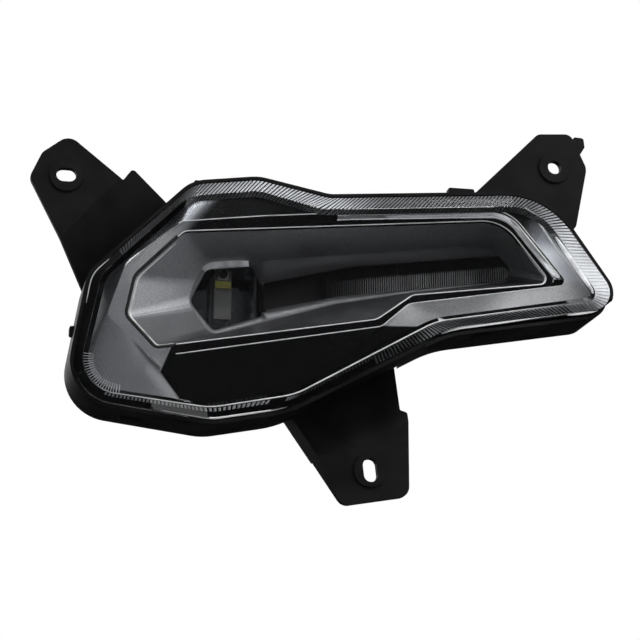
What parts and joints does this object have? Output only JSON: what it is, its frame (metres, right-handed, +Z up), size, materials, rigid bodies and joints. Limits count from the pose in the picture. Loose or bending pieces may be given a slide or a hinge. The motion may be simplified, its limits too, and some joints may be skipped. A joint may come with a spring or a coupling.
{
  "type": "auxiliary driving light",
  "caption": "Car auxiliary driving light: black moulded housing with three fixing ears, clear fluted lens, bright inner frame, light bar and mirror bowl.",
  "frame": {"origin": "middle of the round fixing hole in the upper right ear, halfway through the ear's plate", "axes": "+X to the right as seen from in front of the lens, +Y to the back, +Z up"},
  "size_m": [0.2988, 0.0925, 0.2068],
  "materials": {
    "housing": "moulded black polypropylene",
    "sealant": "black sealing bead",
    "clear_lens": "clear moulded polycarbonate",
    "bezel": "gloss black, metallised at both ends",
    "accent": "bright metallised",
    "pocket": "satin metallised",
    "trough": "matt black",
    "light_bar": "ribbed, dark when not lit",
    "circuit_board": "solder mask",
    "light_source": "yellow phosphor",
    "mirror": "bright metallised",
    "led_board": "pale, matt",
    "bracket": "pressed sheet",
    "screws": "zinc plated",
    "heat_sink": "as cast",
    "gasket": "black sheet",
    "board_parts": "moulded packages",
    "socket": "moulded black polyamide",
    "pins": "plated blades",
    "membrane": "breather film"
  },
  "bodies": {
    "root": {"rear_housing": "housing", "lens_sealant": "sealant", "outer_lens": "clear_lens", "front_bezel": "bezel", "accent_strip": "accent", "pocket_reflector": "pocket", "strip_holder": "trough", "strip_holder_screws": "screws", "strip_lens": "light_bar", "strip_led_board": "circuit_board", "strip_leds": "light_source", "led_reflector": "mirror", "bowl_screws": "screws", "led_board": "led_board", "led_chip": "light_source", "led_bracket": "bracket", "led_bracket_screw": "screws", "heat_sink": "heat_sink", "heat_sink_gasket": "gasket", "heat_sink_screws": "screws", "driver_board": "circuit_board", "driver_parts": "board_parts", "driver_board_screws": "screws", "connector_socket": "socket", "connector_pins": "pins", "connector_gasket": "gasket", "connector_screws": "screws", "vent_membrane": "membrane", "vent_cap": "socket"}
  },
  "joints": []
}
